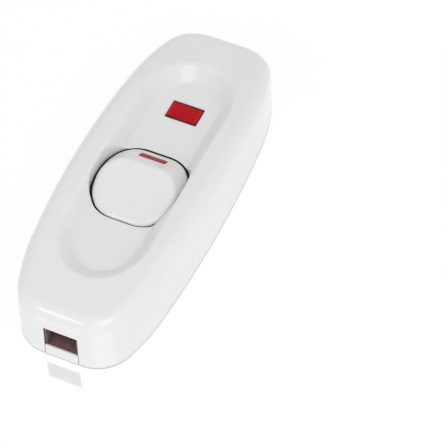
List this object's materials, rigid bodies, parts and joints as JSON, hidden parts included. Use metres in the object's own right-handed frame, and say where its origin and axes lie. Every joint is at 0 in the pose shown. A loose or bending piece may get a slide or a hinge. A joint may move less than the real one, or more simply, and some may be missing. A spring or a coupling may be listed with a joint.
{
  "type": "in-line cord switch",
  "caption": "Slim white in-line cord switch with a dished front, a wide double-pole rocker with a red indicator bar, a red neon lens and a cable entry in each end.",
  "frame": {"origin": "middle of the flat back face on which the switch lies", "axes": "+Z out of the front face, +Y along the housing towards the neon end, +X across it"},
  "size_m": [0.044, 0.1168, 0.0242],
  "materials": {
    "white_plastic": "glossy white urea moulding",
    "red_lens": "clear red, glossy",
    "red_bar": "glossy red",
    "lamp_glass": "clear",
    "nickel_wire": "drawn nickel wire",
    "resistor_body": "lacquered",
    "base_moulding": "thermoset moulding, matt",
    "spring_steel": "drawn wire",
    "plunger_nylon": "nylon, satin",
    "contact_silver": "silver, satin",
    "fibre": "plum-brown vulcanised fibre",
    "plated_steel": "zinc plated",
    "brass": "stamped and turned, satin"
  },
  "bodies": {
    "housing": {"front_cover": "white_plastic", "rear_cover": "white_plastic", "rear_cover_screws": "plated_steel", "neon_lens": "red_lens", "neon_lamp_glass": "lamp_glass", "neon_electrodes": "nickel_wire", "neon_resistor": "resistor_body", "lamp_holder": "white_plastic", "switch_base": "base_moulding", "switch_base_screws": "plated_steel", "rocker_pivot_pins": "plated_steel", "live_pivot_saddle": "brass", "neutral_pivot_saddle": "brass", "live_fixed_contact": "brass", "neutral_fixed_contact": "brass", "live_fixed_tip": "contact_silver", "neutral_fixed_tip": "contact_silver", "live_supply_terminal": "brass", "neutral_supply_terminal": "brass", "live_load_terminal": "brass", "neutral_load_terminal": "brass", "earth_terminal": "brass", "terminal_screws": "plated_steel", "supply_entry_bush": "fibre", "load_entry_bush": "fibre", "supply_cord_grip_plate": "fibre", "load_cord_grip_plate": "fibre", "supply_cord_grip_pad": "fibre", "load_cord_grip_pad": "fibre", "cord_grip_screws": "plated_steel"},
    "rocker": {"rocker": "white_plastic", "rocker_indicator_bar": "red_bar", "live_plunger_spring": "spring_steel", "neutral_plunger_spring": "spring_steel"},
    "live_plunger": {"live_plunger": "plunger_nylon"},
    "neutral_plunger": {"neutral_plunger": "plunger_nylon"},
    "live_contact": {"live_moving_contact": "brass", "live_moving_tip": "contact_silver"},
    "neutral_contact": {"neutral_moving_contact": "brass", "neutral_moving_tip": "contact_silver"}
  },
  "joints": [
    {"name": "rocker_tilt", "type": "hinge", "parent": "housing", "child": "rocker", "pos_m": [0, -0.00505, 0.0165], "axis": [1, 0, 0], "range_deg": [-16, 0]},
    {"name": "live_plunger_slide", "type": "slide", "parent": "rocker", "child": "live_plunger", "axis": [0, -0.1392, 0.9903], "range_m": [0, 0.001], "stiffness_N_per_m": 400, "springref_m": -0.002, "deforming": ["live_plunger_spring"]},
    {"name": "live_contact_rock", "type": "hinge", "parent": "housing", "child": "live_contact", "pos_m": [-0.006, -0.00505, 0.00596], "axis": [1, 0, 0], "range_deg": [0, 16]},
    {"name": "neutral_plunger_slide", "type": "slide", "parent": "rocker", "child": "neutral_plunger", "axis": [0, -0.1392, 0.9903], "range_m": [0, 0.001], "stiffness_N_per_m": 400, "springref_m": -0.002, "deforming": ["neutral_plunger_spring"]},
    {"name": "neutral_contact_rock", "type": "hinge", "parent": "housing", "child": "neutral_contact", "pos_m": [0.006, -0.00505, 0.00596], "axis": [1, 0, 0], "range_deg": [0, 16]}
  ],
  "couplings": [
    {"joint": "live_contact_rock", "follows": "rocker_tilt", "ratio": -1},
    {"joint": "neutral_contact_rock", "follows": "rocker_tilt", "ratio": -1}
  ]
}
